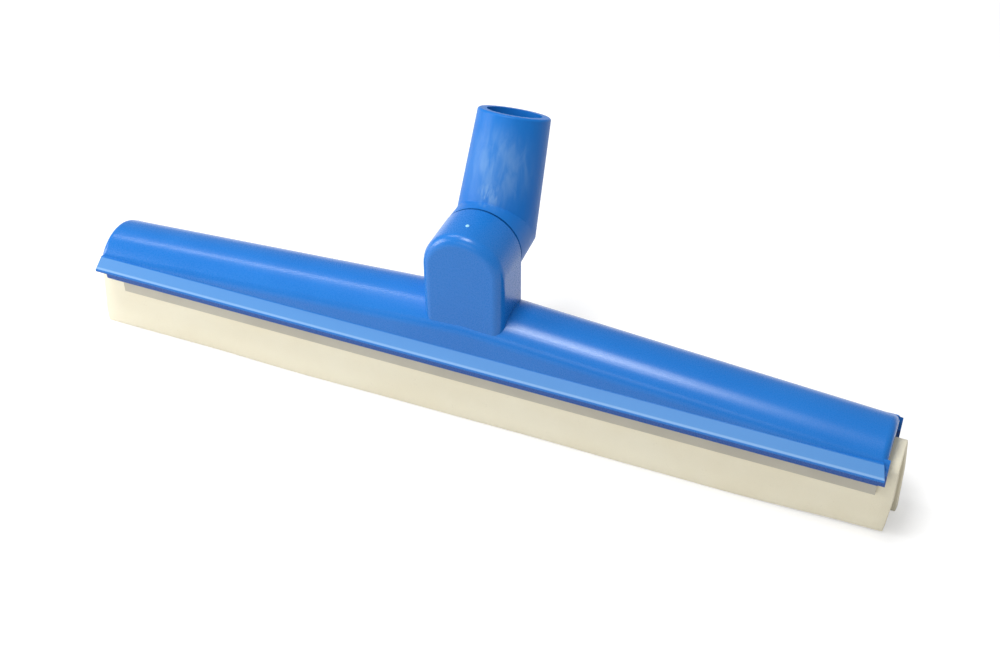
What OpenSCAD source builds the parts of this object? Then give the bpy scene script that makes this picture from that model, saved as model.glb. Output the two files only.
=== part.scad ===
// Floor squeegee head with a turning neck and a slide-out blade cassette.
// Millimetres. +X runs along the head to the right, -Y is the front,
// +Z is up, and Z = 0 is the floor under the two blade edges.

/* [Frame] */
// Length of the moulded frame
head_l = 405; // [250:1:700]
// Wall beside the cassette track
track_t = 2.05; // [1.2:0.05:6]
// Wall of the moulded shell
shell_t = 2.6; // [1.8:0.1:3.6]
// Distance of the end walls inside the lips' ends
end_in = 1; // [0.5:0.1:6]
// Thickness of the end walls
end_t = 4; // [3:0.1:8]
// Crown height above the frame's lower face, at mid length
crown_mid_h = 35.1; // [28:0.1:50]
// Crown height above the frame's lower face, at the ends
crown_end_h = 21.5; // [18:0.1:27]
// Height of the rounded cap over the side walls
cap_h = 11.75; // [10:0.05:15]
// Radius of the cap's shoulders
shoulder_r = 8; // [5:0.1:9]
// Radius of the crown's roll-off at the ends
end_r = 3; // [2:0.1:8]
// Radius of the upright corners at the ends
corner_r = 3.5; // [2:0.1:8]
// Reach of the flared lips past the side walls
lip_out = 4.35; // [2:0.05:12]
// Height of the lips' outer edge
lip_edge = 1.2; // [0.6:0.1:3]
// Height of the lips' upper outer edge, above the lower face
lip_tip = 7.7; // [4:0.1:9]
// Height at which a lip leaves the side wall, above the lower face
lip_rise = 13.9; // [10.5:0.1:15]
// Thickness of a lip at the side wall
lip_root = 4.4; // [2:0.1:5]
// Slant of the lips' ends
lip_end = 3; // [0.5:0.1:6]
// Reach of the side walls past the crown at the open end
cheek_l = 1.3; // [0.5:0.1:4]
// Height of the ledges that carry the cassette
ledge_t = 8.9; // [4:0.1:10]
// Length of the stop at the left end of the cassette track
stop_l = 9.3; // [6:0.1:20]
// Thickness of the cross ribs under the crown
rib_t = 2.2; // [1.2:0.1:4]
// Distance of the first rib from mid length
rib_x0 = 45; // [30:1:90]
// Distance between ribs
rib_pitch = 40; // [20:1:80]

/* [Neck block] */
// Width of the arched block
block_w = 40.4; // [34:0.1:56]
// Rear face of the block behind the mid plane
block_back = 9.25; // [4:0.05:12]
// Walls of the hollow block
block_t = 2.6; // [1.8:0.1:4]
// Rear wall that carries the pivot bush
rear_t = 5.5; // [3:0.1:8]
// Rounding of the block's front edge
block_r = 5; // [1:0.1:6]

/* [Neck] */
// Diameter of the hub at the friction disc
hub_d = 40; // [30:0.1:54]
// Draft of the hub towards the rear, degrees
hub_draft = 1.7; // [0:0.1:4]
// Room between the turning hub and the crown
hub_clear = 3.2; // [1.5:0.1:8]
// Depth of the hub's top in front of the tube
hub_shelf = 4.9; // [3:0.1:10]
// Depth of the full round hub
hub_l = 20; // [16:0.5:26]
// Lean of the tube behind the upright, degrees
tube_lean = 26.5; // [18:0.5:35]
// Length of the tube from the pivot to its rim
tube_l = 54; // [45:0.1:90]
// Outer diameter of the tube at its rim
tube_top_d = 34.8; // [30:0.1:46]
// Outer diameter of the tube at the pivot
tube_base_d = 39.2; // [32:0.1:48]
// Diameter of the handle socket
socket_d = 26.4; // [18:0.1:30]
// Solid depth between the pivot's level and the socket's floor
socket_floor = 12; // [6:0.1:24]
// Rounding of the rim
rim_r = 1.2; // [0.3:0.1:2]

/* [Pivot] */
// Diameter of the stud
stud_d = 8; // [6:0.1:12]
// Width across flats of the stud's moulded-in head
stud_head_w = 15; // [12:0.1:20]
// Thickness of the stud's head
stud_head_t = 5; // [3:0.1:7]
// Plastic between the hub face and the stud's head
stud_cover = 4; // [2:0.1:6]
// Stud length past the nut
stud_tail = 1; // [0:0.1:3]
// Room between the stud's end and the block's front wall
nose_clear = 1.7; // [0.4:0.05:4]
// Outer diameter of the bush
bush_d = 14; // [11:0.1:20]
// Diameter of the bush flange
bush_flange_d = 20; // [17:0.1:28]
// Thickness of the bush flange
bush_flange_t = 1.5; // [0.8:0.1:3]
// Outer diameter of the friction disc
disc_d = 38; // [26:0.1:50]
// Thickness of the friction disc
disc_t = 1.2; // [0.8:0.1:3]
// Outer diameter of the flat washer
washer_d = 17; // [14:0.1:26]
// Thickness of the flat washer
washer_t = 1.6; // [0.8:0.1:3]
// Outer diameter of the disc springs
spring_d = 16; // [13:0.1:24]
// Thickness of the spring steel
spring_t = 0.8; // [0.4:0.1:1.5]
// Cone height of one disc spring over its thickness
spring_rise = 0.4; // [0.2:0.05:1]
// Width across flats of the lock nut
nut_w = 13; // [11:0.1:20]
// Height of the nut's hexagon
nut_h = 6.5; // [4:0.1:10]
// Step from the nut's flats in to its locking collar
collar_step = 0.2; // [0.1:0.1:1]
// Height of the nut's locking collar
collar_h = 1.5; // [1:0.1:4]
// Outer diameter of the nylon locking ring
lock_d = 10.4; // [9:0.1:15]

/* [Cassette] */
// Height of the folded foam strip
blade_h = 44.8; // [32:0.1:70]
// Width over the two foam blades
blade_w = 22.2; // [18:0.1:26]
// Thickness of the foam
blade_t = 5; // [3:0.1:7]
// Inner radius of the foam's fold
fold_in = 0.8; // [0.7:0.1:4]
// Foam past the frame's left end
blade_out_l = 7.2; // [0:0.1:20]
// Foam past the frame's right end
blade_out_r = 5.2; // [0:0.1:20]
// Wall of the carrier
carrier_t = 1.8; // [1.2:0.1:3]
// Height of the carrier's side walls
carrier_h = 18.5; // [10:0.1:26]
// Distance of the carrier inside the frame's right end
carrier_in = 3.2; // [1:0.1:20]
// Width of each sliding flange past the side wall
flange_w = 1.4; // [0.8:0.1:2]
// Thickness of the carrier's top plate
plate_t = 1.8; // [1.4:0.1:3]
// Wall of the core bar inside the fold
core_t = 2; // [1.2:0.1:3]
// Number of rivets
rivet_n = 6; // [3:1:12]
// Distance of the end rivets from the carrier's ends
rivet_end = 22; // [10:0.5:60]
// Shank diameter of a rivet
rivet_d = 4; // [2.5:0.1:5]
// Head diameter of a rivet
rivet_head_d = 6.8; // [5:0.1:8]
// Thickness of a rivet's head and tail
rivet_head_t = 1.1; // [0.6:0.1:1.3]

/* [Clearances] */
// Sliding clearance of the cassette
slide_gap = 0.2; // [0.1:0.05:0.5]
// Clearance between foam and moulded parts
foam_gap = 0.3; // [0.1:0.05:0.6]
// Clearance of turning faces and of the stud in its bush
turn_gap = 0.05; // [0.02:0.01:0.1]
// Clearance of the disc springs around the stud
spring_gap = 0.2; // [0.1:0.05:0.5]
// Clearance of seated pieces
seat_gap = 0.02; // [0.01:0.01:0.05]
// Room over the cassette below the ribs
rib_clear = 1.5; // [0.5:0.1:4]

/* [Hidden] */
$fn = 72;

// Reach of cutting shapes, and how far they run past a face
far = 200;
eps = 1;
half_turn = 180;

// Cassette, from the foam outwards
blade_r = blade_w / 2;
fold_z = blade_h - blade_t;
carrier_i = blade_r + foam_gap;
carrier_r = carrier_i + carrier_t;
flange_r = carrier_r + flange_w;
track_r = flange_r + slide_gap;
core_r = blade_r - blade_t - foam_gap;
core_top = fold_z - foam_gap;
core_in = core_top - core_t;
carrier_low = blade_h - carrier_h;

// Heights, from the floor up
ledge_z = blade_h - slide_gap;
low_z = ledge_z - ledge_t;
plate_z = blade_h + plate_t;
track_z = plate_z + slide_gap;
crown_mid_z = low_z + crown_mid_h;
crown_end_z = low_z + crown_end_h;
pivot_z = crown_mid_z + hub_d / 2 + hub_clear;
rib_z = track_z + rib_clear;
lip_z = low_z + lip_rise;
tip_z = low_z + lip_tip;

// Frame
half_l = head_l / 2;
body_l = half_l - end_in;
body_r = track_r + track_t;
lip_r = body_r + lip_out;
slope = atan((crown_mid_h - crown_end_h) / half_l);

// The end's roundings start just outside the walls, at this angle on the crown
end_over = 0.1;
side_over = 0.3;
skim = 0.02;
roll = 12;

// How far the walls at the open end stay inside the crown's faces
cheek_in = 0.2;

// Cassette lengths
carrier_x0 = -half_l + stop_l + slide_gap;
carrier_x1 = half_l - carrier_in;
rivet_pitch = (carrier_x1 - carrier_x0 - 2 * rivet_end) / (rivet_n - 1);

// Pivot stack, from the block's rear wall forward
wall_y = block_back - rear_t;
flange_y = wall_y - bush_flange_t;
washer_y = flange_y - turn_gap - washer_t;
spring_h = spring_t + spring_rise;
spring_y = washer_y - seat_gap - 2 * spring_h;
nut_y = spring_y - seat_gap - nut_h;
collar_y = nut_y - collar_h;
stud_y = collar_y - stud_tail;
block_front = stud_y - nose_clear - block_t;
block_half = block_w / 2;
block_in = block_half - block_t;

// Neck
hub_r = hub_d / 2;
hub_y = block_back + disc_t + turn_gap;
head_y = hub_y + stud_cover;
base_r = tube_base_d / 2;
rim_or = tube_top_d / 2;
taper = (base_r - rim_or) / tube_l;
tube_y = hub_y + hub_shelf + base_r / cos(tube_lean) - hub_r * tan(tube_lean);
socket_l = tube_l - socket_floor;
stud_r = stud_d / 2;
bore_r = stud_r + turn_gap;

// A cylinder along +Y from y0 to y1 about the pivot axis
module on_pivot(r, y0, y1, r_end = -1) {
    translate([0, y0, pivot_z])
    rotate([-90, 0, 0])
    cylinder(r1 = r, r2 = r_end < 0 ? r : r_end, h = y1 - y0);
}

// A profile of [radius, distance along +Y] turned about the pivot axis
module turned_on_pivot(y0, turn = 360) {
    translate([0, y0, pivot_z])
    rotate([-90, 0, 0])
    rotate([0, 0, half_turn])
    rotate_extrude(angle = turn)
    children();
}

// A sector of a circle about the origin, from angle a to angle b
module sector2d(r, a, b) {
    intersection() {
        circle(r);
        polygon([[0, 0], [3 * r * cos(a), 3 * r * sin(a)], [3 * r * cos(b), 3 * r * sin(b)]]);
    }
}

// A hexagonal prism along +Y about the pivot axis
module hex_on_pivot(flats, y0, y1) {
    hr = flats / 2 / cos(30);
    translate([0, y0, pivot_z])
    rotate([-90, 0, 0])
    linear_extrude(height = y1 - y0)
    polygon([for (i = [0:5]) [hr * cos(60 * i), hr * sin(60 * i)]]);
}

// A flat drawing in Y and Z, drawn out along +X from x0 to x1
module along_x(x0, x1) {
    translate([x0, 0, 0])
    rotate([90, 0, 90])
    linear_extrude(height = x1 - x0)
    children();
}

// Radius of the top arc between two shoulders
function top_r(b, h, rs) = (pow(b - rs, 2) + h * h - rs * rs) / (2 * (h - rs));

// Arch of three tangent arcs on upright walls, with its apex at the origin
module cap2d(b, h, rs) {
    bc = b - rs;
    rt = top_r(b, h, rs);
    turn = atan2(rt - h, bc);
    translate([0, -rt])
    sector2d(rt, turn, half_turn - turn);
    translate([bc, -h])
    sector2d(rs, 0, turn);
    translate([-bc, -h])
    sector2d(rs, half_turn - turn, half_turn);
    polygon([[-b, -far], [b, -far], [b, -h], [bc, -h], [0, -rt], [-bc, -h], [-b, -h]]);
}

// Upright with rounded upper corners, standing on the X axis
module upright2d(b, top, r) {
    translate([-b, 0])
    square([2 * b, top - r]);
    translate([-(b - r), top - r])
    square([2 * (b - r), r]);
    translate([b - r, top - r])
    sector2d(r, 0, 90);
    translate([-(b - r), top - r])
    sector2d(r, half_turn / 2, half_turn);
}

// A long arch that falls to the right from its high point at mid length
module crown_bar(t) {
    translate([0, 0, crown_mid_z - t])
    rotate([0, slope, 0])
    along_x(-far / 4, head_l)
    cap2d(body_r - t, cap_h - t, shoulder_r - t);
}

// Bar about the top arc's axis at the right end, rolled off at that end
module roll_off() {
    r = top_r(body_r, cap_h, shoulder_r) / cos(slope);
    cx = body_l - end_r + end_over;
    cr = r - end_r + end_over;
    er = end_r - skim;
    px = cx + er * sin(roll);
    pr = cr + er * cos(roll);
    translate([0, 0, crown_mid_z - body_l * tan(slope) - r])
    rotate([0, 90, 0])
    rotate_extrude() {
        translate([cr, cx])
        circle(end_r);
        polygon([[0, -eps], [0, cx + er], [cr, cx + er], [cr, cx], [pr, px],
            [pr + (px + eps) * tan(roll), -eps]]);
    }
}

// Plan of the right half, with rounded corners
module plan2d() {
    cx = body_l - corner_r;
    side = body_r + side_over;
    cy = side - corner_r;
    translate([cx, cy])
    sector2d(corner_r, 0, 90);
    translate([cx, -cy])
    sector2d(corner_r, 270, 360);
    polygon([[0, -side], [cx, -side], [cx, -cy], [body_l, -cy], [body_l, cy], [cx, cy],
        [cx, side], [0, side]]);
}

module body_outer() {
    for (s = [0, 1]) {
        mirror([s, 0, 0])
        intersection() {
            crown_bar(0);
            roll_off();
            translate([0, 0, low_z])
            linear_extrude(height = far)
            plan2d();
        }
    }
}

module lips() {
    wall = body_r - shell_t / 2;
    for (s = [0, 1]) {
        mirror([0, s, 0])
        intersection() {
            along_x(-half_l, half_l)
            polygon([[wall, lip_z - lip_root], [body_r, lip_z - lip_root], [lip_r, tip_z - lip_edge],
                [lip_r, tip_z], [body_r, lip_z], [wall, lip_z]]);
            linear_extrude(height = far)
            polygon([[-half_l + lip_end, wall - eps], [half_l - lip_end, wall - eps],
                [half_l, lip_r], [half_l, lip_r + eps], [-half_l, lip_r + eps],
                [-half_l, lip_r]]);
        }
    }
}

// The side walls' ends, past the crown's right end
module cheeks() {
    for (s = [0, 1]) {
        mirror([0, s, 0])
        intersection() {
            crown_bar(cheek_in);
            translate([half_l / 2, track_r - cheek_in, low_z + cheek_in])
            cube([body_l + cheek_l - half_l / 2, far, far]);
        }
    }
}

// The arched block, with its front edge rounded
module block_outer() {
    deep = block_back - block_front;
    turned_on_pivot(block_front, half_turn) {
        square([block_half - block_r, deep]);
        translate([block_half - block_r, block_r])
        square([block_r, deep - block_r]);
        translate([block_half - block_r, block_r])
        sector2d(block_r, 270, 360);
    }
    translate([0, block_back, rib_z])
    mirror([0, 1, 0])
    linear_extrude(height = pivot_z - rib_z)
    upright2d(block_half, deep, block_r);
}

module block_hollow() {
    y0 = block_front + block_t;
    on_pivot(block_in, y0, wall_y);
    translate([-block_in, y0, track_z - eps])
    cube([2 * block_in, wall_y - y0, pivot_z - track_z + eps]);
}

// The hollow under the crown, less the ribs and the block's own walls
module crown_hollow() {
    for (s = [0, 1]) {
        mirror([s, 0, 0])
        difference() {
            intersection() {
                crown_bar(shell_t);
                translate([rib_t / 2, -far / 2, track_z - eps])
                cube([body_l - end_t - rib_t / 2, far, far]);
            }
            translate([-eps, -far / 2, rib_z])
            cube([block_half + eps, far / 2 + block_back, far]);
            for (x = [rib_x0 : rib_pitch : body_l - end_t - rib_t]) {
                translate([x - rib_t / 2, -far / 2, rib_z])
                cube([rib_t, far, far]);
            }
        }
    }
}

// Way for the cassette: a wide track over the ledges, a narrow one between
module cassette_way() {
    translate([-half_l + stop_l, -track_r, ledge_z])
    cube([head_l, 2 * track_r, track_z - ledge_z]);
    translate([-head_l, -(carrier_r + slide_gap), low_z - eps])
    cube([2 * head_l, 2 * (carrier_r + slide_gap), track_z - low_z + eps]);
}

module frame_shell() {
    color([0.20, 0.45, 0.80])
    difference() {
        union() {
            body_outer();
            lips();
            cheeks();
            block_outer();
        }
        crown_hollow();
        block_hollow();
        cassette_way();
        on_pivot(bush_d / 2 + seat_gap, wall_y - eps, block_back + eps);
    }
}

module pivot_bush() {
    color([0.93, 0.92, 0.88])
    difference() {
        union() {
            on_pivot(bush_d / 2, wall_y - eps / 2, block_back);
            on_pivot(bush_flange_d / 2, flange_y, wall_y);
        }
        on_pivot(bore_r, flange_y - eps, block_back + eps);
    }
}

module friction_disc() {
    color([0.12, 0.13, 0.15])
    difference() {
        on_pivot(disc_d / 2, block_back, block_back + disc_t);
        on_pivot(bore_r + turn_gap, block_back - eps, block_back + disc_t + eps);
    }
}

// The tube in its own frame: pivot level at 0, rim at tube_l
module tube_at() {
    translate([0, tube_y, pivot_z])
    rotate([-tube_lean, 0, 0])
    children();
}

module tube_upper() {
    rotate_extrude() {
        polygon([[0, 0], [base_r, 0], [rim_or, tube_l - rim_r], [rim_or - rim_r, tube_l - rim_r],
            [rim_or - rim_r, tube_l], [0, tube_l]]);
        translate([rim_or - rim_r, tube_l - rim_r])
        circle(rim_r);
    }
}

module tube_lower() {
    translate([0, 0, -tube_l])
    cylinder(r1 = base_r + taper * tube_l, r2 = base_r, h = tube_l);
}

module swivel_neck() {
    hub_reach = far / 3;
    color([0.20, 0.45, 0.80])
    difference() {
        union() {
            intersection() {
                on_pivot(hub_r, hub_y, hub_y + hub_reach, hub_r - hub_reach * tan(hub_draft));
                union() {
                    translate([-far / 2, hub_y - eps, 0])
                    cube([far, hub_l + eps, far]);
                    tube_at() tube_lower();
                }
            }
            intersection() {
                tube_at() tube_upper();
                translate([-far / 2, hub_y, 0])
                cube(far);
            }
        }
        tube_at()
        translate([0, 0, tube_l - socket_l])
        cylinder(d = socket_d, h = socket_l + eps);
        on_pivot(stud_r + seat_gap, hub_y - eps, head_y + eps);
        hex_on_pivot(stud_head_w + 2 * seat_gap, head_y - seat_gap, head_y + stud_head_t + seat_gap);
    }
}

module pivot_stud() {
    color([0.75, 0.76, 0.78]) {
        on_pivot(stud_r, stud_y, head_y + eps);
        hex_on_pivot(stud_head_w, head_y, head_y + stud_head_t);
    }
}

module flat_washer() {
    color([0.75, 0.76, 0.78])
    difference() {
        on_pivot(washer_d / 2, washer_y, washer_y + washer_t);
        on_pivot(stud_r + seat_gap, washer_y - eps, washer_y + washer_t + eps);
    }
}

// Two disc springs, nested mouth to mouth
module disc_springs() {
    ri = stud_r + spring_gap;
    ro = spring_d / 2;
    color([0.55, 0.56, 0.58]) {
        turned_on_pivot(spring_y)
        polygon([[ri, 0], [ro, spring_rise], [ro, spring_h], [ri, spring_t]]);
        turned_on_pivot(spring_y + spring_h)
        polygon([[ri, spring_rise], [ro, 0], [ro, spring_t], [ri, spring_h]]);
    }
}

module lock_nut() {
    color([0.75, 0.76, 0.78])
    difference() {
        union() {
            hex_on_pivot(nut_w, nut_y, nut_y + nut_h);
            on_pivot(nut_w / 2 - collar_step, collar_y, nut_y + eps);
        }
        on_pivot(stud_r + seat_gap, collar_y - eps, nut_y + nut_h + eps);
        on_pivot(lock_d / 2 + seat_gap, collar_y - eps, nut_y);
    }
}

module nut_lock_ring() {
    color([0.25, 0.40, 0.85])
    difference() {
        on_pivot(lock_d / 2, collar_y, nut_y);
        on_pivot(stud_r + seat_gap, collar_y - eps, nut_y + eps);
    }
}

// Places for the rivets, along the carrier
module at_rivets() {
    for (i = [0 : rivet_n - 1]) {
        translate([carrier_x0 + rivet_end + i * rivet_pitch, 0, 0])
        children();
    }
}

module rivet_holes() {
    at_rivets()
    translate([0, 0, carrier_low])
    cylinder(d = rivet_d + 2 * seat_gap, h = carrier_h + plate_t + eps);
}

module cassette_carrier() {
    color([0.80, 0.77, 0.68])
    difference() {
        along_x(carrier_x0, carrier_x1)
        difference() {
            union() {
                translate([-flange_r, blade_h])
                square([2 * flange_r, plate_t]);
                translate([-carrier_r, carrier_low])
                square([2 * carrier_r, carrier_h + plate_t / 2]);
            }
            translate([-carrier_i, carrier_low - eps])
            square([2 * carrier_i, carrier_h + eps]);
        }
        rivet_holes();
        at_rivets()
        translate([0, 0, plate_z - rivet_head_t - seat_gap])
        cylinder(d = rivet_head_d + 2 * seat_gap, h = rivet_head_t + eps);
    }
}

module core_bar() {
    color([0.80, 0.77, 0.68])
    difference() {
        along_x(carrier_x0, carrier_x1)
        difference() {
            upright2d(core_r, core_top, fold_in - foam_gap);
            translate([-core_r - eps, -eps])
            square([2 * core_r + 2 * eps, carrier_low + eps]);
            translate([-(core_r - core_t), 0])
            square([2 * (core_r - core_t), core_in]);
        }
        rivet_holes();
    }
}

module foam_blade() {
    color([0.93, 0.90, 0.82])
    difference() {
        along_x(-half_l - blade_out_l, half_l + blade_out_r)
        difference() {
            upright2d(blade_r, blade_h, fold_in + blade_t);
            translate([0, -eps])
            upright2d(blade_r - blade_t, fold_z + eps, fold_in);
        }
        rivet_holes();
    }
}

module cassette_rivets() {
    color([0.78, 0.79, 0.80])
    at_rivets() {
        translate([0, 0, core_in - rivet_head_t - seat_gap])
        cylinder(d = rivet_d, h = plate_z - core_in + rivet_head_t + seat_gap);
        translate([0, 0, core_in - rivet_head_t - seat_gap])
        cylinder(d = rivet_head_d, h = rivet_head_t);
        translate([0, 0, plate_z - rivet_head_t])
        cylinder(d = rivet_head_d, h = rivet_head_t);
    }
}

frame_shell();
pivot_bush();
friction_disc();
swivel_neck();
pivot_stud();
flat_washer();
disc_springs();
lock_nut();
nut_lock_ring();
cassette_carrier();
core_bar();
foam_blade();
cassette_rivets();
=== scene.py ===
"""Looks of a floor squeegee: finishes, foam blades, floor, light and camera round the CAD frame."""

import itertools
import math

import bmesh
import bpy
from mathutils import Matrix, Vector, noise


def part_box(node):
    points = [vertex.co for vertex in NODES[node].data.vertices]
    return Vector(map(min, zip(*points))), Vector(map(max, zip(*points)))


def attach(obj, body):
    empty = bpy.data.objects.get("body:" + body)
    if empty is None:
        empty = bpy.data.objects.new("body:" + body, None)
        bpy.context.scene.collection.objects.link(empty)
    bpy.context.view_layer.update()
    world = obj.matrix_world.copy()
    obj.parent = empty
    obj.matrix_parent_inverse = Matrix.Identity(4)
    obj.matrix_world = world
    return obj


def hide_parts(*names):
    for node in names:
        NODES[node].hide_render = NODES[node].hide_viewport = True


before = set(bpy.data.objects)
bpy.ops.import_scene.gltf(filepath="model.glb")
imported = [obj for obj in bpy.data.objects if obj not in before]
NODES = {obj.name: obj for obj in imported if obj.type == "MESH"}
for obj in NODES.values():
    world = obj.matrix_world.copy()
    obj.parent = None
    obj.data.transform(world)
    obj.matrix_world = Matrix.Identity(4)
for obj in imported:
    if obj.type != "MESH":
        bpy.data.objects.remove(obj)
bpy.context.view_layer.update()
MM = 0.001

# The photograph's camera, in degrees, pixels and metres
IMAGE_W_PX = 1000
FOCAL_PX = 1503.85
SENSOR_MM = 36
VIEW_AZIMUTH = 22.38
VIEW_ELEVATION = 40.2
VIEW_ROLL = -0.3
VIEW_DISTANCE = 718.67 * MM
VIEW_TARGET = Vector((13.18, 0, 52.11)) * MM
CLIP_START = 10 * MM

# Lamps: name, point aimed at, azimuth and elevation in degrees, distance, width and height in metres, watts
TOP_AIM = Vector((-140, 0, 50)) * MM
LAMPS = (
    ("top", TOP_AIM, 0, 78, 1.2, 0.38, 0.38, 8.6),
    ("left", VIEW_TARGET, -70, 15, 1.0, 0.40, 0.45, 4.4),
    ("front", VIEW_TARGET, -10, 27, 1.2, 0.60, 0.45, 1.4),
    ("upper_left", VIEW_TARGET, -101, 53, 1.2, 0.15, 0.45, 2.0),
)
WORLD_STRENGTH = 0.45

# Floor, just clear of the foam, and the glow that lifts it to white for direct view
FLOOR_Z = -0.1 * MM
FLOOR_HALF = 20.0
FLOOR_ROUGHNESS = 0.9
FLOOR_LIFT = 0.4
SQUARE = ((-1, -1), (1, -1), (1, 1), (-1, 1))

# Colours, linear
BLUE = (0.006, 0.160, 0.550)
BLUE_DEEP = (0.005, 0.153, 0.535)
BLUE_PALE = (0.008, 0.167, 0.565)
BLUE_RUBBED = (0.150, 0.320, 0.620)
# Paler blue of the lips: painted sheen
BLUE_LIP_SHEEN = (0.085, 0.270, 0.620)
# Palest line along the lips' edge: painted highlight
BLUE_PAINTED_HIGHLIGHT = (0.215, 0.410, 0.720)
# Dark blue strip below the lips: painted shade
BLUE_PAINTED_SHADE = (0.004, 0.075, 0.340)
# Pale blues of the gate mark: painted glint
BLUE_PAINTED_GLINT = (0.300, 0.640, 0.860)
BLUE_PAINTED_GLINT_PALE = (0.360, 0.700, 0.900)
FOAM = (0.890, 0.825, 0.635)
FOAM_PALE = (0.915, 0.860, 0.680)
FOAM_PORE = (0.620, 0.550, 0.430)
NATURAL = (0.490, 0.460, 0.375)
NATURAL_PALE = (0.540, 0.510, 0.420)
BEARING = (0.820, 0.810, 0.760)
BEARING_PALE = (0.880, 0.870, 0.830)
DARK = (0.012, 0.018, 0.034)
DARK_PALE = (0.030, 0.040, 0.062)
RING_BLUE = (0.060, 0.140, 0.420)
RING_BLUE_PALE = (0.090, 0.180, 0.480)
STAINLESS = (0.600, 0.600, 0.610)
STAINLESS_PALE = (0.700, 0.700, 0.710)
SPRING = (0.400, 0.400, 0.420)
SPRING_PALE = (0.500, 0.500, 0.520)
ALUMINIUM = (0.680, 0.680, 0.700)
ALUMINIUM_PALE = (0.780, 0.780, 0.800)
FLOOR_PALE = (0.700, 0.700, 0.700)
WHITE = (1, 1, 1)

# Range that nearly all values of a noise lie in, and a narrower one for stains with clearer edges
NOISE_RANGE = (0.3, 0.7)
STAIN_RANGE = (0.35, 0.65)

# Patterns of the finishes: scales per metre, stretches along the axes, and depths of relief
BLUE_DRIFT = 22
BLUE_PEEL = 420
BLUE_PEEL_DEPTH = 0.008 * MM
BLUE_GRAIN = 2600
BLUE_GRAIN_DEPTH = 0.003 * MM
FOAM_DRIFT = 35
FOAM_PATCHES = 160
FOAM_CELLS = 900
FOAM_CELL_DEPTH = 0.06 * MM
FOAM_GRAIN = 1500
FOAM_GRAIN_DEPTH = 0.05 * MM
DRAWN_DRIFT = 40
DRAWN_LINES = 900
DRAWN_STRETCH = (0.02, 1, 1)
DRAWN_DEPTH = 0.02 * MM
PLAIN_DRIFT = 180
PLAIN_GRAIN = 1800
PLAIN_DEPTH = 0.015 * MM
METAL_STAINS = 260
METAL_LINES = 3200
METAL_STRETCH = (0.3, 1, 0.3)
METAL_DEPTH = 0.008 * MM

# How far a pattern moves a finish's roughness down and up
BLUE_SPREAD = (0.04, 0.04)
DRAWN_SPREAD = (0.06, 0.06)
PLAIN_SPREAD = (0.07, 0.07)
METAL_SPREAD = (0.08, 0.10)

# Foam's skin: gloss, sheen, and the ranges in which cells show as pores and pores come in patches
FOAM_ROUGHNESS = 0.9
FOAM_SPREAD = (0.08, 0.06)
FOAM_GLOSS = 0.25
FOAM_SHEEN = 0.15
FOAM_SHEEN_ROUGHNESS = 0.6
PORE_RANGE = (0.05, 0.22)
PATCH_RANGE = (0.55, 0.75)

# Flared lips of the frame: band of paler blue that is painted sheen on a rougher finish, line of painted
# highlight along its edge, and strip of painted shade below
LIP_REACH = 4.25 * MM
EDGE_REACH = 1.05 * MM
LIP_EDGE = 0.15 * MM
STRIP_H = 7.1 * MM
LIP_BLEND = 0.3 * MM

# Rubbed places on the tube: where, full and fading reach, pattern, and its range and share
HAZE_AT = Vector((2.0, 22.0, 130.0)) * MM
HAZE_REACH = (6 * MM, 25 * MM)
HAZE_STREAKS = 300
HAZE_STRETCH = (1, 0.5, 0.18)
HAZE_RANGE = (0.3, 0.75)
HAZE_SHARE = (0.2, 0.7)
MARK_AT = Vector((1.0, 18.0, 118.0)) * MM
MARK_REACH = (2 * MM, 9 * MM)
MARK_SCRATCHES = 520
MARK_STRETCH = (1, 0.5, 0.12)
MARK_RANGE = (0.34, 0.66)

# Rounding of the moulded edges
WELD_GAP = 0.001 * MM
FLAT_ANGLE = math.radians(0.3)
SHARP_ANGLE = math.radians(28)
MOULD_SEGMENTS = 2
MOULD_RADII = {
    "frame_shell": 0.45 * MM,
    "swivel_neck": 0.5 * MM,
    "cassette_carrier": 0.25 * MM,
}

# Gate mark on the block's top, and its turned outline as radii and heights in millimetres
GATE_AT = Vector((-0.79, -3.98, 114.12)) * MM
GATE_LINE = ((0.95, -0.50), (0.92, 0.10), (0.80, 0.30), (0.55, 0.40), (0.30, 0.34))
GATE_SIDES = 20

# Hand-cut ends of the foam, as heights and distances from mid length, in millimetres
CUT_LEFT_FRONT = ((0, 209.6), (7, 209.6), (30, 207.0), (45, 207.0))
CUT_LEFT_REAR = ((0, 209.0), (45, 207.5))
CUT_RIGHT_FRONT = ((0, 205.9), (2, 206.0), (21, 207.4), (45, 207.1))
CUT_RIGHT_REAR = ((0, 209.3), (26, 208.5), (42, 207.1), (45, 207.1))

# Foam strip, folded to an upturned U
FOAM_T = 5.0 * MM
FOLD_R = 5.8 * MM
FOAM_EDGE_R = 0.5 * MM
FOAM_EDGE_SEGMENTS = 3
FOAM_EDGE_ANGLE = math.radians(40)
FOAM_STATIONS = 72
FOAM_LAYERS = 4
LEG_STEPS = 14
ARC_STEPS = 8
TOP_STEPS = 6

# Waves of the foam's free legs, below a height, and the front leg's set-back towards the right end
FOAM_FREE_Z = 26 * MM
FOAM_SWAY = 0.9 * MM
FOAM_SWAY_PER_M = 14
FOAM_SWAY_POWER = 1.5
FOAM_LEG_SEED = 3
FOAM_SEED = 0.5
FOAM_LIFT = 1.0 * MM
FOAM_SET_BACK = 1.2 * MM
FOAM_SET_BACK_X = (120 * MM, 190 * MM)


def principled(name, base, roughness, metallic=0.0):
    """A new material with its node tree and its shader."""
    material = bpy.data.materials.new(name)
    material.use_nodes = True
    tree = material.node_tree
    shader = tree.nodes["Principled BSDF"]
    shader.inputs["Base Color"].default_value = (*base, 1)
    shader.inputs["Roughness"].default_value = roughness
    shader.inputs["Metallic"].default_value = metallic
    return material, tree, shader


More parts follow.
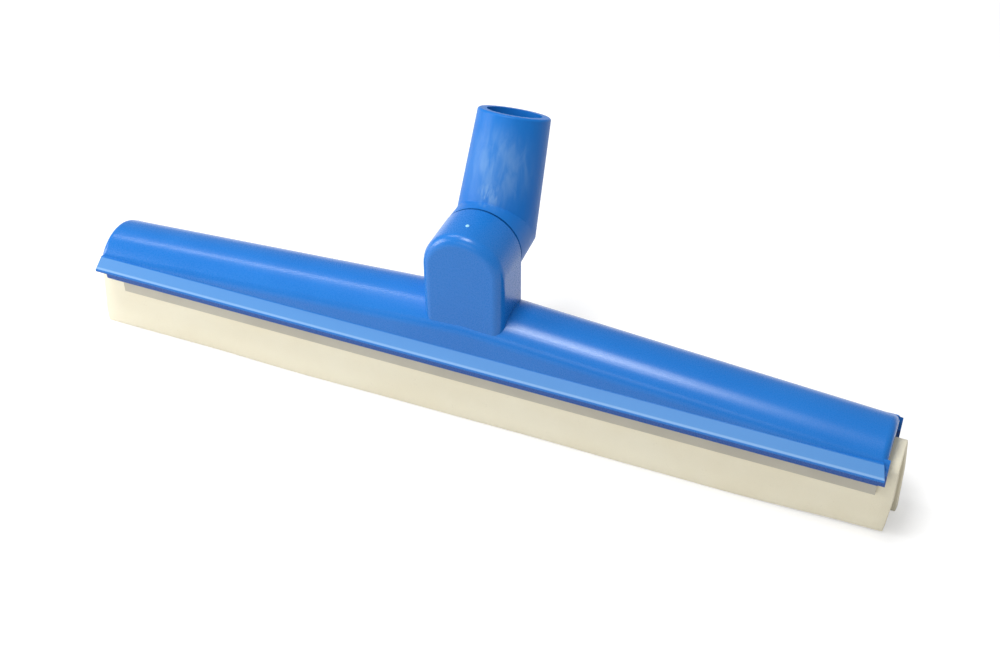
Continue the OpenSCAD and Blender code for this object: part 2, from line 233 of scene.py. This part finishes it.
def object_coords(tree, stretch=(1, 1, 1)):
    """The piece's own coordinates in metres, each axis times its stretch."""
    coords = tree.nodes.new("ShaderNodeTexCoord")
    mapping = tree.nodes.new("ShaderNodeMapping")
    mapping.inputs["Scale"].default_value = stretch
    tree.links.new(coords.outputs["Object"], mapping.inputs["Vector"])
    return mapping.outputs["Vector"]


def noise_value(tree, coords, scale, detail=2.0, distortion=0.0):
    """A soft random value over the piece."""
    texture = tree.nodes.new("ShaderNodeTexNoise")
    texture.inputs["Scale"].default_value = scale
    texture.inputs["Detail"].default_value = detail
    texture.inputs["Distortion"].default_value = distortion
    tree.links.new(coords, texture.inputs["Vector"])
    return texture.outputs["Fac"]


def cell_value(tree, coords, scale):
    """Distance from the middle of the nearest cell."""
    texture = tree.nodes.new("ShaderNodeTexVoronoi")
    texture.inputs["Scale"].default_value = scale
    tree.links.new(coords, texture.inputs["Vector"])
    return texture.outputs["Distance"]


def ranged(tree, value, limits, results=(0.0, 1.0)):
    """The value between two limits, smoothly spread over the two results."""
    node = tree.nodes.new("ShaderNodeMapRange")
    node.interpolation_type = "SMOOTHSTEP"
    node.inputs["From Min"].default_value = limits[0]
    node.inputs["From Max"].default_value = limits[1]
    node.inputs["To Min"].default_value = results[0]
    node.inputs["To Max"].default_value = results[1]
    tree.links.new(value, node.inputs["Value"])
    return node.outputs["Result"]


def fading(tree, value, limits):
    """1 below the first limit, 0 above the second, and smooth between."""
    return ranged(tree, value, limits, (1.0, 0.0))


def combined(tree, operation, first, second):
    """Two nodes' values put together by an operation of the Math node."""
    node = tree.nodes.new("ShaderNodeMath")
    node.operation = operation
    tree.links.new(first, node.inputs[0])
    tree.links.new(second, node.inputs[1])
    return node.outputs["Value"]


def blended(tree, share, first, second):
    """A colour between two; each is a colour or another node's colour."""
    node = tree.nodes.new("ShaderNodeMix")
    node.data_type = "RGBA"
    tree.links.new(share, node.inputs["Factor"])
    for colour, socket in ((first, node.inputs[6]), (second, node.inputs[7])):
        if isinstance(colour, tuple):
            socket.default_value = (*colour, 1)
        else:
            tree.links.new(colour, socket)
    return node.outputs[2]


def mixed(tree, share, first, second):
    """A value between another node's value and a number."""
    node = tree.nodes.new("ShaderNodeMix")
    tree.links.new(share, node.inputs["Factor"])
    tree.links.new(first, node.inputs["A"])
    node.inputs["B"].default_value = second
    return node.outputs["Result"]


def drifted(tree, coords, scale, first, second, detail=3):
    """A colour that drifts between two in soft patches."""
    patches = noise_value(tree, coords, scale, detail)
    return blended(tree, ranged(tree, patches, NOISE_RANGE), first, second)


def roughened(tree, pattern, roughness, spread):
    """A roughness that a pattern moves down and up by the two values of spread."""
    return ranged(tree, pattern, NOISE_RANGE, (roughness - spread[0], roughness + spread[1]))


def bumped(tree, height, depth, under=None):
    """Normals of a relief of that depth in metres, on top of another relief."""
    node = tree.nodes.new("ShaderNodeBump")
    node.inputs["Distance"].default_value = depth
    tree.links.new(height, node.inputs["Height"])
    if under is not None:
        tree.links.new(under, node.inputs["Normal"])
    return node.outputs["Normal"]


def place_parts(tree, coords):
    """The distance from the long axis, and the height."""
    parts = tree.nodes.new("ShaderNodeSeparateXYZ")
    tree.links.new(coords, parts.inputs["Vector"])
    away = tree.nodes.new("ShaderNodeMath")
    away.operation = "ABSOLUTE"
    tree.links.new(parts.outputs["Y"], away.inputs[0])
    return away.outputs["Value"], parts.outputs["Z"]


def lip_band(tree, coords, reach):
    """1 on the frame's lips from that reach to just short of their tips, and 0 on all else."""
    away, _ = place_parts(tree, coords)
    tip = -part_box("frame_shell")[0].y
    inner = ranged(tree, away, (tip - reach, tip - reach + LIP_BLEND))
    outer = fading(tree, away, (tip - LIP_EDGE - LIP_BLEND, tip - LIP_EDGE))
    return combined(tree, "MULTIPLY", inner, outer)


def lip_share(tree, coords):
    """1 on the faces of the frame's flared lips and 0 on all else."""
    return lip_band(tree, coords, LIP_REACH)


def painted_highlight_share(tree, coords):
    """1 on the line along the lips' outer edges where a painted highlight makes the blue palest."""
    return lip_band(tree, coords, EDGE_REACH)


def painted_shade_share(tree, coords):
    """1 on the strip of painted shade below the lips and 0 above it."""
    _, height = place_parts(tree, coords)
    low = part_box("frame_shell")[0].z
    return fading(tree, height, (low + STRIP_H - LIP_BLEND, low + STRIP_H))


def near(tree, coords, centre, reach):
    """1 within the first reach of a point and 0 beyond the second."""
    gap = tree.nodes.new("ShaderNodeVectorMath")
    gap.operation = "DISTANCE"
    gap.inputs[1].default_value = centre
    tree.links.new(coords, gap.inputs[0])
    return fading(tree, gap.outputs["Value"], reach)


def scuff_share(tree, coords):
    """A dull haze of upright scuffs on the tube's front left, and a mark at its foot."""
    along = object_coords(tree, HAZE_STRETCH)
    streaks = noise_value(tree, along, HAZE_STREAKS, detail=5, distortion=0.5)
    streaked = ranged(tree, streaks, HAZE_RANGE, HAZE_SHARE)
    haze = combined(tree, "MULTIPLY", near(tree, coords, HAZE_AT, HAZE_REACH), streaked)
    along = object_coords(tree, MARK_STRETCH)
    scratches = noise_value(tree, along, MARK_SCRATCHES, detail=6, distortion=0.3)
    scratched = ranged(tree, scratches, MARK_RANGE)
    mark = combined(tree, "MULTIPLY", near(tree, coords, MARK_AT, MARK_REACH), scratched)
    return combined(tree, "MAXIMUM", haze, mark)


def moulded_blue(name, roughness, gloss, wear_and_sheen, wear_and_sheen_colour, wear_and_sheen_roughness, places=()):
    """Blue moulded plastic of soft gloss, with its own colour and roughness where a share is given: real
    wear on the tube, and painted sheen on the lips.

    wear_and_sheen gives that share of a point; places holds more shares, each with its colour."""
    material, tree, shader = principled(name, BLUE, roughness)
    shader.inputs["Specular IOR Level"].default_value = gloss
    coords = object_coords(tree)
    colour = drifted(tree, coords, BLUE_DRIFT, BLUE_DEEP, BLUE_PALE)
    # Shares with their own colour: real wear on the tube; on the frame, painted sheen on the lips, a
    # painted highlight along their edge and painted shade below them
    share = wear_and_sheen(tree, coords)
    colour = blended(tree, share, colour, wear_and_sheen_colour)
    for place_share, place_colour in places:
        colour = blended(tree, place_share(tree, coords), colour, place_colour)
    tree.links.new(colour, shader.inputs["Base Color"])
    grain = noise_value(tree, coords, BLUE_GRAIN)
    polish = roughened(tree, grain, roughness, BLUE_SPREAD)
    tree.links.new(mixed(tree, share, polish, wear_and_sheen_roughness), shader.inputs["Roughness"])
    peel = bumped(tree, noise_value(tree, coords, BLUE_PEEL), BLUE_PEEL_DEPTH)
    tree.links.new(bumped(tree, grain, BLUE_GRAIN_DEPTH, peel), shader.inputs["Normal"])
    return material


def cellular_foam(name):
    """Cream cellular rubber: matt skin with fine pores."""
    material, tree, shader = principled(name, FOAM, FOAM_ROUGHNESS)
    shader.inputs["Sheen Weight"].default_value = FOAM_SHEEN
    shader.inputs["Sheen Roughness"].default_value = FOAM_SHEEN_ROUGHNESS
    shader.inputs["Specular IOR Level"].default_value = FOAM_GLOSS
    coords = object_coords(tree)
    colour = drifted(tree, coords, FOAM_DRIFT, FOAM, FOAM_PALE, detail=4)
    cells = cell_value(tree, coords, FOAM_CELLS)
    patches = ranged(tree, noise_value(tree, coords, FOAM_PATCHES), PATCH_RANGE)
    pores = combined(tree, "MULTIPLY", fading(tree, cells, PORE_RANGE), patches)
    tree.links.new(blended(tree, pores, colour, FOAM_PORE), shader.inputs["Base Color"])
    grain = noise_value(tree, coords, FOAM_GRAIN, detail=4)
    tree.links.new(roughened(tree, grain, FOAM_ROUGHNESS, FOAM_SPREAD), shader.inputs["Roughness"])
    relief = bumped(tree, grain, FOAM_GRAIN_DEPTH, bumped(tree, cells, FOAM_CELL_DEPTH))
    tree.links.new(relief, shader.inputs["Normal"])
    return material


def drawn_plastic(name, colour, pale, roughness):
    """Extruded natural plastic with fine draw lines along its length."""
    material, tree, shader = principled(name, colour, roughness)
    lines = noise_value(tree, object_coords(tree, DRAWN_STRETCH), DRAWN_LINES, detail=3)
    drift = drifted(tree, object_coords(tree), DRAWN_DRIFT, colour, pale)
    tree.links.new(drift, shader.inputs["Base Color"])
    tree.links.new(roughened(tree, lines, roughness, DRAWN_SPREAD), shader.inputs["Roughness"])
    tree.links.new(bumped(tree, lines, DRAWN_DEPTH), shader.inputs["Normal"])
    return material


def plain_plastic(name, colour, pale, roughness):
    """Moulded or stamped plastic with a fine even grain."""
    material, tree, shader = principled(name, colour, roughness)
    coords = object_coords(tree)
    grain = noise_value(tree, coords, PLAIN_GRAIN, detail=3)
    drift = drifted(tree, coords, PLAIN_DRIFT, colour, pale)
    tree.links.new(drift, shader.inputs["Base Color"])
    tree.links.new(roughened(tree, grain, roughness, PLAIN_SPREAD), shader.inputs["Roughness"])
    tree.links.new(bumped(tree, grain, PLAIN_DEPTH), shader.inputs["Normal"])
    return material


def turned_metal(name, colour, pale, roughness):
    """Metal with fine tool lines round the pivot and soft stains."""
    material, tree, shader = principled(name, colour, roughness, metallic=1.0)
    lines = noise_value(tree, object_coords(tree, METAL_STRETCH), METAL_LINES, detail=3)
    stains = noise_value(tree, object_coords(tree), METAL_STAINS, detail=4)
    stained = blended(tree, ranged(tree, stains, STAIN_RANGE), colour, pale)
    tree.links.new(stained, shader.inputs["Base Color"])
    tree.links.new(roughened(tree, lines, roughness, METAL_SPREAD), shader.inputs["Roughness"])
    tree.links.new(bumped(tree, lines, METAL_DEPTH), shader.inputs["Normal"])
    return material


def dress(node, material):
    """Gives a CAD node its finish."""
    for slot in NODES[node].material_slots:
        slot.material = material


def dress_blue():
    """Gives the two blue mouldings their finishes."""
    # Frame: the lips' paler blue is painted sheen over a rougher finish, the edge line a painted highlight,
    # the strip below painted shade; neck: real scuffs
    frame_blue = moulded_blue(
        "frame_blue", roughness=0.28, gloss=0.42,
        wear_and_sheen=lip_share, wear_and_sheen_colour=BLUE_LIP_SHEEN, wear_and_sheen_roughness=0.36,
        places=((painted_highlight_share, BLUE_PAINTED_HIGHLIGHT), (painted_shade_share, BLUE_PAINTED_SHADE)),
    )
    neck_blue = moulded_blue(
        "neck_blue", roughness=0.42, gloss=0.20,
        wear_and_sheen=scuff_share, wear_and_sheen_colour=BLUE_RUBBED, wear_and_sheen_roughness=0.55,
    )
    dress("frame_shell", frame_blue)
    dress("swivel_neck", neck_blue)


def dress_rest():
    """Gives the carrier, the core bar and the hardware their finishes."""
    dress("cassette_carrier", drawn_plastic("carrier_natural", NATURAL, NATURAL_PALE, roughness=0.48))
    dress("core_bar", drawn_plastic("core_natural", NATURAL, NATURAL_PALE, roughness=0.52))
    dress("pivot_bush", plain_plastic("bush_acetal", BEARING, BEARING_PALE, roughness=0.4))
    dress("friction_disc", plain_plastic("disc_dark", DARK, DARK_PALE, roughness=0.6))
    dress("nut_lock_ring", plain_plastic("ring_nylon", RING_BLUE, RING_BLUE_PALE, roughness=0.45))
    dress("pivot_stud", turned_metal("stud_stainless", STAINLESS, STAINLESS_PALE, roughness=0.3))
    dress("flat_washer", turned_metal("washer_stainless", STAINLESS, STAINLESS_PALE, roughness=0.35))
    dress("lock_nut", turned_metal("nut_stainless", STAINLESS, STAINLESS_PALE, roughness=0.32))
    dress("disc_springs", turned_metal("springs_tempered", SPRING, SPRING_PALE, roughness=0.3))
    dress("cassette_rivets", turned_metal("rivets_aluminium", ALUMINIUM, ALUMINIUM_PALE, roughness=0.4))


def soften(node, radius):
    """Rounds the sharp edges of a CAD node, as its mould does."""
    piece = NODES[node]
    weld = piece.modifiers.new("weld", "WELD")
    weld.merge_threshold = WELD_GAP
    flats = piece.modifiers.new("flats", "DECIMATE")
    flats.decimate_type = "DISSOLVE"
    flats.angle_limit = FLAT_ANGLE
    edges = piece.modifiers.new("edges", "BEVEL")
    edges.width = radius
    edges.segments = MOULD_SEGMENTS
    edges.limit_method = "ANGLE"
    edges.angle_limit = SHARP_ANGLE
    edges.miter_outer = "MITER_ARC"
    piece.modifiers.new("shading", "WEIGHTED_NORMAL")


def added(name, data):
    """A new object of the scene that shows the data."""
    item = bpy.data.objects.new(name, data)
    bpy.context.scene.collection.objects.link(item)
    return item


def smooth_piece(name, form, material):
    """A smooth-shaded object of a bmesh form, which is freed."""
    mesh = bpy.data.meshes.new(name)
    form.to_mesh(mesh)
    form.free()
    for polygon in mesh.polygons:
        polygon.use_smooth = True
    mesh.materials.append(material)
    return added(name, mesh)


def fold_line(half_w, top, radius):
    """Points (y, z) up the front leg, over the fold and down the rear leg."""
    spring = top - radius
    side = half_w - radius
    front = [(-half_w, spring * i / LEG_STEPS) for i in range(LEG_STEPS)]
    turn = [math.pi / 2 * i / ARC_STEPS for i in range(ARC_STEPS + 1)]
    arc = [(-side - radius * math.cos(a), spring + radius * math.sin(a)) for a in turn]
    flat = [(-side + 2 * side * i / TOP_STEPS, top) for i in range(1, TOP_STEPS)]
    half = front + arc
    return half + flat + [(-y, z) for y, z in reversed(half)]


def grid_shell(counts, place):
    """A closed mesh over the six sides of a grid of counts points; place gives a point's position."""
    shell = bmesh.new()
    made = {}

    def vertex(index):
        if index not in made:
            made[index] = shell.verts.new(place(*index))
        return made[index]

    for axis in range(3):
        side_a, side_b = [k for k in range(3) if k != axis]
        ends = (0, counts[axis] - 1)
        for end, i, j in itertools.product(ends, range(counts[side_a] - 1), range(counts[side_b] - 1)):
            corners = []
            for di, dj in ((0, 0), (1, 0), (1, 1), (0, 1)):
                index = [end, end, end]
                index[side_a] = i + di
                index[side_b] = j + dj
                corners.append(vertex(tuple(index)))
            shell.faces.new(corners)
    bmesh.ops.recalc_face_normals(shell, faces=shell.faces)
    return shell


def along_table(table, height):
    """A table's value at a height in metres, both columns in millimetres."""
    for (z0, x0), (z1, x1) in zip(table, table[1:]):
        if height <= z1 * MM:
            break
    share = min(max((height / MM - z0) / (z1 - z0), 0), 1)
    return (x0 + (x1 - x0) * share) * MM


def eased(value, low, high):
    """0 below low, 1 above high, and smooth between."""
    share = min(max((value - low) / (high - low), 0), 1)
    return share * share * (3 - 2 * share)


def swayed(x, y, z):
    """A point of the foam after its free legs have crept out of line."""
    free = max(0, 1 - z / FOAM_FREE_Z)
    leg = math.copysign(1, y)
    wave = noise.noise(Vector((x * FOAM_SWAY_PER_M, leg * FOAM_LEG_SEED, FOAM_SEED)))
    right_end = eased(x, *FOAM_SET_BACK_X) if y < 0 else 0
    y += free ** FOAM_SWAY_POWER * (FOAM_SWAY * wave + FOAM_SET_BACK * right_end)
    z += free * FOAM_LIFT * right_end
    return Vector((x, y, z))


def foam_form():
    """The foam strip's closed form, with both its legs, cut by hand at its ends."""
    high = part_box("foam_blade")[1]
    outer = fold_line(high.y, high.z, FOLD_R)
    inner = fold_line(high.y - FOAM_T, high.z - FOAM_T, FOLD_R - FOAM_T)

    def place(station, step, layer):
        along = station / (FOAM_STATIONS - 1)
        depth = layer / FOAM_LAYERS
        y = outer[step][0] * (1 - depth) + inner[step][0] * depth
        z = outer[step][1] * (1 - depth) + inner[step][1] * depth
        rear = eased(y, -high.y, high.y)
        left = along_table(CUT_LEFT_FRONT, z) * (1 - rear) + along_table(CUT_LEFT_REAR, z) * rear
        right = along_table(CUT_RIGHT_FRONT, z) * (1 - rear) + along_table(CUT_RIGHT_REAR, z) * rear
        return swayed((left + right) * along - left, y, z)

    return grid_shell((FOAM_STATIONS, len(outer), FOAM_LAYERS + 1), place)


def foam_strip():
    """The foam strip in place of its plain solid."""
    strip = smooth_piece("foam_strip", foam_form(), cellular_foam("foam_cream"))
    edges = strip.modifiers.new("edges", "BEVEL")
    edges.width = FOAM_EDGE_R
    edges.segments = FOAM_EDGE_SEGMENTS
    edges.limit_method = "ANGLE"
    edges.angle_limit = FOAM_EDGE_ANGLE
    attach(strip, "cassette")
    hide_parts("foam_blade")


def gate_form():
    """The gate mark's turned form, closed at its foot and its dished top."""
    turned = bmesh.new()
    turns = [2 * math.pi * i / GATE_SIDES for i in range(GATE_SIDES)]
    rings = []
    for radius, height in GATE_LINE:
        points = [Vector((radius * math.cos(a), radius * math.sin(a), height)) * MM for a in turns]
        rings.append([turned.verts.new(point) for point in points])
    for lower, upper in zip(rings, rings[1:]):
        for i in range(GATE_SIDES):
            k = (i + 1) % GATE_SIDES
            turned.faces.new((lower[i], lower[k], upper[k], upper[i]))
    turned.faces.new(rings[0][::-1])
    turned.faces.new(rings[-1])
    return turned


def gate_mark():
    """The low nub that the mould's gate left on the block's arched top; its pale blue is a painted glint.
    """
    pale = plain_plastic("gate_painted_glint", BLUE_PAINTED_GLINT, BLUE_PAINTED_GLINT_PALE, roughness=0.3)
    nub = smooth_piece("gate_mark", gate_form(), pale)
    nub.location = GATE_AT
    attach(nub, "frame")


def direction(azimuth, elevation):
    """The unit vector towards an azimuth and elevation in degrees, with azimuth 0 in front."""
    a = math.radians(azimuth)
    e = math.radians(elevation)
    return Vector((math.sin(a) * math.cos(e), -math.cos(a) * math.cos(e), math.sin(e)))


def camera():
    """The photograph's camera."""
    back = direction(VIEW_AZIMUTH, VIEW_ELEVATION)
    level = Vector((0, 0, 1)).cross(back).normalized()
    rise = back.cross(level)
    roll = math.radians(VIEW_ROLL)
    right = level * math.cos(roll) + rise * math.sin(roll)
    up = rise * math.cos(roll) - level * math.sin(roll)
    data = bpy.data.cameras.new("camera")
    data.sensor_width = SENSOR_MM
    data.lens = FOCAL_PX * SENSOR_MM / IMAGE_W_PX
    data.clip_start = CLIP_START
    stand = added("camera", data)
    pose = Matrix((right, up, back)).transposed().to_4x4()
    pose.translation = VIEW_TARGET + back * VIEW_DISTANCE
    stand.matrix_world = pose
    bpy.context.scene.camera = stand


def seen_directly(tree):
    """1 for rays that see a surface straight, in a mirror or through glass."""
    path = tree.nodes.new("ShaderNodeLightPath")
    total = path.outputs["Is Camera Ray"]
    for ray in ("Is Glossy Ray", "Is Transmission Ray"):
        total = combined(tree, "MAXIMUM", total, path.outputs[ray])
    return total


def floor_finish():
    """Matt pale paint, lifted to white for direct view."""
    material, tree, shader = principled("floor_pale", FLOOR_PALE, FLOOR_ROUGHNESS)
    shader.inputs["Specular IOR Level"].default_value = 0.0
    shader.inputs["Emission Color"].default_value = (*WHITE, 1)
    lift = tree.nodes.new("ShaderNodeMath")
    lift.operation = "MULTIPLY"
    lift.inputs[1].default_value = FLOOR_LIFT
    tree.links.new(seen_directly(tree), lift.inputs[0])
    tree.links.new(lift.outputs["Value"], shader.inputs["Emission Strength"])
    return material


def floor():
    """A pale floor that keeps the object's shadow."""
    mesh = bpy.data.meshes.new("floor")
    corners = [(x * FLOOR_HALF, y * FLOOR_HALF, FLOOR_Z) for x, y in SQUARE]
    mesh.from_pydata(corners, [], [range(len(corners))])
    mesh.materials.append(floor_finish())
    plane = added("floor", mesh)


def surroundings():
    """A soft even light from all round."""
    world = bpy.data.worlds.new("studio")
    bpy.context.scene.world = world
    world.use_nodes = True
    back = world.node_tree.nodes["Background"]
    back.inputs["Color"].default_value = (*WHITE, 1)
    back.inputs["Strength"].default_value = WORLD_STRENGTH


def soft_box(name, aim, azimuth, elevation, distance, width, height, watts):
    """A rectangular lamp at a distance from the point that it is aimed at."""
    away = direction(azimuth, elevation)
    data = bpy.data.lights.new(name, "AREA")
    data.shape = "RECTANGLE"
    data.size = width
    data.size_y = height
    data.energy = watts
    lamp = added(name, data)
    lamp.rotation_mode = "QUATERNION"
    lamp.rotation_quaternion = away.to_track_quat("Z", "Y")
    lamp.location = aim + away * distance


bpy.context.scene.view_settings.view_transform = "Standard"
dress_blue()
dress_rest()
for moulding, edge_radius in MOULD_RADII.items():
    soften(moulding, edge_radius)
foam_strip()
gate_mark()
camera()
floor()
surroundings()
for lamp_values in LAMPS:
    soft_box(*lamp_values)
